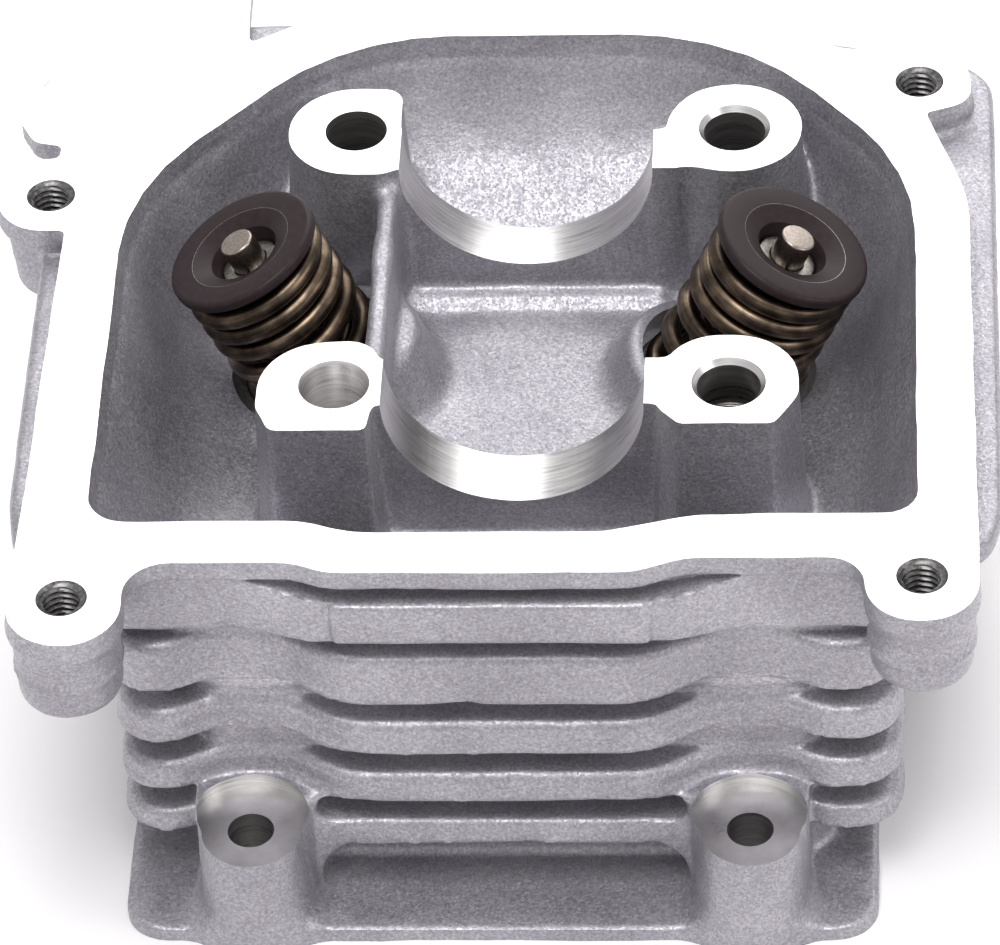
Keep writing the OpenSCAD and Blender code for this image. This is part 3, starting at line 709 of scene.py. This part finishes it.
def cutGroups():
    c = casting
    top = c["top"]
    down = (0, 0, -1)
    groups = [[
        boxCutter("faceTop", (-90, -90, top), (80, 80, top + 12), 1),
        boxCutter("faceGasket", (-90, -90, -12), (80, 80, 0), 1),
    ]]
    seats = [
        boreCutter("cradle", [(18, -36.2), (18, 31.5)], axisFrame((c["camX"], 0, top), (0, 1, 0)), 160),
        boxCutter("intakeFace", (58, -32, -1), (63, 34, 36), 1),
        boxCutter("exhaustFace", (-67, -31, -1), (-62, 33, 35), 1),
    ]
    for i, (x, y) in enumerate(lugs):
        corners = [(8.6, -12), (8.6, 0), (3.2, 0), (3.2, 19)]
        seats.append(boreCutter(f"lugFace{i}", corners, axisFrame((x, y, 17.5), down), 64, 4))
    groups.append(seats)
    holes = []
    for sx in (-1, 1):
        for sy in (-1, 1):
            plain = (sx, sy) == (-1, 1)
            mouth = 4.4 if plain else 4.9 if sx < 0 else 5.1
            corners = [(mouth, -2), (mouth, 0), (4.4, 0.05 if plain else 0.8), (4.4, top + 2)]
            name = f"studHole{sx}{sy}".replace("-", "m")
            holes.append(boreCutter(name, corners, axisFrame((sx * 27, sy * 27, top), down), 72, 4))
    for i, (x, y) in enumerate(coverHoles):
        holes.append(threadCutter(f"coverThread{i}", axisFrame((x, y, top), down), 12.5, 2.5, 1.0, 0.45))
    groups.append(holes)
    valveCuts = []
    for which in ("intake", "exhaust"):
        head = valveGear["headRadius"][which]
        corners = [
            (12.3, -4), (12.3, 32.3), (4.75, 32.3), (4.75, 53.5), (head - 2.4, 53.5), (head - 2.4, 56.5),
            (head + 1.7, 56.5), (head + 1.7, 60.0), (head + 1.2, 60.8), (head + 1.2, 84.8),
        ]
        valveCuts.append([boreCutter(f"{which}Pocket", corners, stemAxis(which), 96)])
    groups += valveCuts
    rise = math.radians(35)
    along = np.array((0, math.cos(rise), math.sin(rise)))
    plugEnd = np.array((-3, 9, 6.5))
    ports = [
        boreCutter("intakePort", [(10.5, 0), (10.5, 60)], axisFrame((13.2, 0.8, 14), (46.8, 0, 6.3)), 64, 0),
        boreCutter("exhaustPort", [(10, 0), (10, 60)], axisFrame((-19, 0.8, 14), (-45, 0, 5.3)), 64, 0),
        threadCutter("plugThread", axisFrame(plugEnd, along), 24, 4.6, 1.25, 0, 40, 5),
    ]
    for x, z, out, pitch in ((46, 20, 1, 48), (-50, 19, -1, 44)):
        for side in (-1, 1):
            name = f"flangeScrew{'ab'[side > 0]}{'io'[out > 0]}"
            axis = axisFrame((x, 0.8 + side * pitch / 2, z), (out, 0, 0))
            ports.append(boreCutter(name, [(2.5, 0), (2.5, 16)], axis, 32))
    groups.append(ports)
    angles = np.linspace(0, np.pi / 2, 40)
    dome = [(max(33.1 * math.sin(a), 0.02), 33.1 * math.cos(a)) for a in angles]
    groups.append([
        boreCutter("plugWell", [(10, 0), (10, 45)], axisFrame(plugEnd + 20 * along, along), 64, 0),
        boreCutter("chamber", dome, axisFrame((-2.65, 0.3, -21.6), (0, 0, 1)), 120, 2),
    ])
    return groups


def joinPieces(name, pieces):
    # one mesh from several cutters that don't touch each other
    points, loops, sizes, slots, offset = [], [], [], [], 0
    for piece in pieces:
        mesh = piece.data
        co = np.empty(len(mesh.vertices) * 3, np.float32)
        mesh.vertices.foreach_get("co", co)
        corner = np.empty(len(mesh.loops), np.int32)
        mesh.loops.foreach_get("vertex_index", corner)
        total = np.empty(len(mesh.polygons), np.int32)
        mesh.polygons.foreach_get("loop_total", total)
        slot = np.empty(len(mesh.polygons), np.int32)
        mesh.polygons.foreach_get("material_index", slot)
        points.append(co)
        loops.append(corner + offset)
        sizes.append(total)
        slots.append(slot)
        offset += len(mesh.vertices)
        bpy.data.objects.remove(piece)
    points, loops, sizes, slots = (np.concatenate(part) for part in (points, loops, sizes, slots))
    mesh = bpy.data.meshes.new(name)
    mesh.vertices.add(len(points) // 3)
    mesh.vertices.foreach_set("co", points)
    mesh.loops.add(len(loops))
    mesh.loops.foreach_set("vertex_index", loops)
    mesh.polygons.add(len(sizes))
    mesh.polygons.foreach_set("loop_start", np.concatenate([[0], np.cumsum(sizes)[:-1]]).astype(np.int32))
    mesh.polygons.foreach_set("material_index", slots)
    mesh.update(calc_edges=True)
    for key in castingSlots:
        mesh.materials.append(finish[key])
    piece = bpy.data.objects.new(name, mesh)
    bpy.context.scene.collection.objects.link(piece)
    return piece


def makeCasting():
    body = castMesh()
    for key in castingSlots:
        body.data.materials.append(finish[key])
    for i, group in enumerate(cutGroups()):
        cutter = joinPieces(f"cutters{i}", group)
        cut = body.modifiers.new("cut", "BOOLEAN")
        cut.operation = "DIFFERENCE"
        cut.solver = "MANIFOLD"
        cut.object = cutter
        before = len(body.data.polygons)
        settle(body)
        print("cut", i, before, "->", len(body.data.polygons))
        bpy.data.objects.remove(cutter)
    body.name = "castingBody"
    body.data.shade_smooth()
    body.data.set_sharp_from_angle(angle=math.radians(38))
    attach(body, "head")
    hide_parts("head_casting")
    return body


makeCasting()
print("casting made")


def finished(piece, body, node, slot, *keys):
    for key in keys:
        piece.data.materials.append(finish[key])
    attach(piece, body)
    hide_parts(node)
    return piece


retainerShape = {"radius": 11.2, "top": 1.2, "springTop": 3.0}
outerSpring = {
    "meanRadius": 9.35, "wireRadius": 1.45, "top": 3.0, "length": 28.3,
    "heights": [(0, 0.9), (1, 4.0), (2, 7.15), (3, 10.5), (4, 15.2), (5, 21), (5.8, 26.2), (6.4, 27.4)],
    "sides": 20, "perTurn": 60,
}
innerSpring = {
    "meanRadius": 6.6, "wireRadius": 0.9, "top": 4.4, "length": 26.9,
    "heights": [(0, 0.5), (1, 3.0), (2, 5.8), (7, 23.8), (8, 26.4)],
    "sides": 16, "perTurn": 56,
}


def coil(name, shape, axis, startTurn=0.0):
    # a wire of round section carried along a helix whose height follows the listed turns; both ends are ground flat
    start, u, v, w = axis
    turns = shape["heights"][-1][0]
    rings = int(turns * shape["perTurn"]) + 1
    turn = np.linspace(0, turns, rings)
    height = np.interp(turn, *zip(*shape["heights"]))
    kernel = np.ones(21) / 21
    height = np.convolve(np.pad(height, 10, mode="reflect", reflect_type="odd"), kernel, "valid")
    angle = 2 * np.pi * (turn + startTurn)
    section = np.linspace(0, 2 * np.pi, shape["sides"], endpoint=False)
    r = shape["meanRadius"] + shape["wireRadius"] * np.cos(section)[None, :]
    s = height[:, None] + shape["wireRadius"] * np.sin(section)[None, :]
    s = np.clip(s, 0.05, shape["length"] - 0.05) + shape["top"]
    ring = np.cos(angle)[:, None, None] * u + np.sin(angle)[:, None, None] * v
    points = start + s[:, :, None] * w + r[:, :, None] * ring
    quads = gridQuads(rings, shape["sides"], False, True)
    first = np.arange(shape["sides"])
    caps = [first, (rings - 1) * shape["sides"] + first[::-1]]
    length = turn * 2 * np.pi * shape["meanRadius"]
    uv = np.stack(np.broadcast_arrays(length[:, None], section[None, :]), -1).reshape(-1, 2)
    return meshFrom(name, points.reshape(-1, 3), quads, caps, uv=uv, sharpDegrees=50)


for which in ("intake", "exhaust"):
    axis = stemAxis(which)
    train = f"{which}_valve_train"
    headR = valveGear["headRadius"][which]

    valvePath = roundedPath([
        (0, 0, 0), (2.48, 0, 0.35), (2.48, 5.2, 0.1), (1.98, 5.4, 0.1), (1.98, 6.5, 0.1), (2.48, 6.7, 0.1),
        (2.48, 49.5, 8), (3.1, 53, 4), (4.7, 56.4, 3), (headR - 1.8, 59, 0.3), (headR, 60.8, 0.15),
        (headR, 62, 0.25), (0, 62, 0),
    ], closed=False)
    valvePath[0, 0] = valvePath[-1, 0] = 0.01
    valve = turned(f"{which}Valve", valvePath, axis, 72, closed=False)
    finished(valve, train, f"{which}_valve", "valve_steel", "valve")

    rt = retainerShape
    retainerPath = [
        (rt["radius"], rt["top"], 0.75), (rt["radius"], rt["springTop"], 0.5), (7.4, rt["springTop"], 0.15),
        (7.4, 4.4, 0.2), (5.5, 4.4, 0.2), (5.3, 8.4, 0.2), (3.9, 8.4, 0.15), (4.6, 4.0, 0.1),
        (5.1, rt["top"] + 1.1, 0.2), (7.6, rt["top"], 0.18),
    ]
    path = roundedPath(retainerPath, stepDegrees=20)
    # the lip of the recess gets the bright bare-steel finish, a painted highlight
    near = np.hypot(path[:, 0] - 7.6, path[:, 1] - rt["top"]) < 0.22
    paintedHighlightRing = (near & np.roll(near, -1)).astype(int)
    retainer = turned(f"{which}Retainer", path, axis, 128, pathSlots=paintedHighlightRing)
    finished(retainer, train, f"{which}_retainer", "black_oxide_steel", "blackOxide", "paintedHighlightEdge")

    keeperPath = roundedPath([(2.5, 4.2, 0.25), (4.38, 4.2, 0.3), (3.78, 8.2, 0.2), (2.5, 8.2, 0.2)], stepDegrees=30)
    for side, arc in (("left", (97, 263)), ("right", (-83, 83))):
        keeper = turned(f"{which}Keeper{side.title()}", keeperPath, axis, 40, arc=arc)
        finished(keeper, train, f"{which}_keeper_{side}", "bright_steel", "bright")

    spring = coil(f"{which}OuterSpring", outerSpring, axis, 0.1)
    finished(spring, "head", f"{which}_outer_spring", "spring_wire", "wire")
    tuple((onStem(which, 31.3) * mm).tolist())
    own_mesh(spring)
    spring = coil(f"{which}InnerSpring", innerSpring, axis, 0.6)
    finished(spring, "head", f"{which}_inner_spring", "spring_wire", "wire")
    tuple((onStem(which, 31.3) * mm).tolist())
    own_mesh(spring)

    seatPath = roundedPath(
        [(5.45, 31.32, 0.1), (11.4, 31.32, 0.25), (11.4, 32.28, 0.1), (5.45, 32.28, 0.1)], stepDegrees=30,
    )
    finished(turned(f"{which}SpringSeat", seatPath, axis, 96), "head", f"{which}_spring_seat", "bright_steel", "bright")

    sealPath = roundedPath([
        (2.55, 21.8, 0.2), (4, 21.8, 0.3), (4.4, 23.4, 0.3), (5.3, 25.5, 0.4), (5.3, 28.5, 0.3), (4.78, 28.5, 0.1),
        (4.78, 25.4, 0.1), (2.55, 25.4, 0.1),
    ], stepDegrees=25)
    finished(turned(f"{which}StemSeal", sealPath, axis, 64), "head", f"{which}_stem_seal", "seal_rubber", "rubber")

    guidePath = roundedPath([(2.5, 25.5, 0.2), (4.75, 25.5, 0.4), (4.75, 49, 0.3), (2.5, 49, 0.2)], stepDegrees=30)
    finished(turned(f"{which}ValveGuide", guidePath, axis, 64), "head", f"{which}_valve_guide", "guide_metal", "bronze")

    top = 62 - 1.2 - 1.8 - 5.5 + 2
    insertPath = roundedPath([
        (headR - 2.4, top, 0.1), (headR + 1.68, top, 0.1), (headR + 1.68, top + 5.48, 0.1),
        (headR + 0.25, top + 5.48, 0.1), (headR - 1.75, top + 3.48, 0.1), (headR - 2.4, top + 2.6, 0.2),
    ], stepDegrees=30)
    insert = turned(f"{which}SeatInsert", insertPath, axis, 96)
    finished(insert, "head", f"{which}_seat_insert", "bright_steel", "bright")

dowelPath = roundedPath([(4.02, 43, 0.1), (4.38, 43, 0.1), (4.38, 55, 0.1), (4.02, 55, 0.1)], stepDegrees=30)
finished(
    turned("studHoleDowel", dowelPath, axisFrame((27, -27, 0), (0, 0, 1)), 64),
    "head", "stud_hole_dowel", "bright_steel", "bright",
)
print("valve gear made")


studio = {
    "floor": "#f4f2f3",
    "worldStrength": 0.68,
    # name, place in metres, size in metres, watts
    "lights": [
        ("backLight", (0.2, 1.3, 1.15), 1.5, 15),
        ("topLight", (-0.1, -0.5, 1.6), 0.8, 16),
        ("rightLight", (1.4, -0.5, 0.9), 0.7, 5),
    ],
}


def addStudio():
    floor = meshFrom(
        "floor",
        np.array([(-3000, -3000, -0.02), (3000, -3000, -0.02), (3000, 3000, -0.02), (-3000, 3000, -0.02)], float),
        np.array([(0, 1, 2, 3)]),
    )
    material, tree, shader, place = startMaterial("paleFloor", 0.0, 0.75)
    shader.inputs["Base Color"].default_value = colour(studio["floor"])
    floor.data.materials.append(material)
    world = bpy.data.worlds.new("studio")
    world.use_nodes = True
    world.node_tree.nodes["Background"].inputs["Color"].default_value = (1, 1, 1, 1)
    world.node_tree.nodes["Background"].inputs["Strength"].default_value = studio["worldStrength"]
    bpy.context.scene.world = world
    for name, place, size, watts in studio["lights"]:
        data = bpy.data.lights.new(name, "AREA")
        data.size = size
        data.energy = watts
        lamp = bpy.data.objects.new(name, data)
        aim = Vector((0, 0, 0.03)) - Vector(place)
        lamp.matrix_world = Matrix.Translation(place) @ aim.to_track_quat("-Z", "Y").to_matrix().to_4x4()
        bpy.context.scene.collection.objects.link(lamp)
    bpy.context.scene.view_settings.view_transform = "Standard"


addStudio()
print("studio lit")
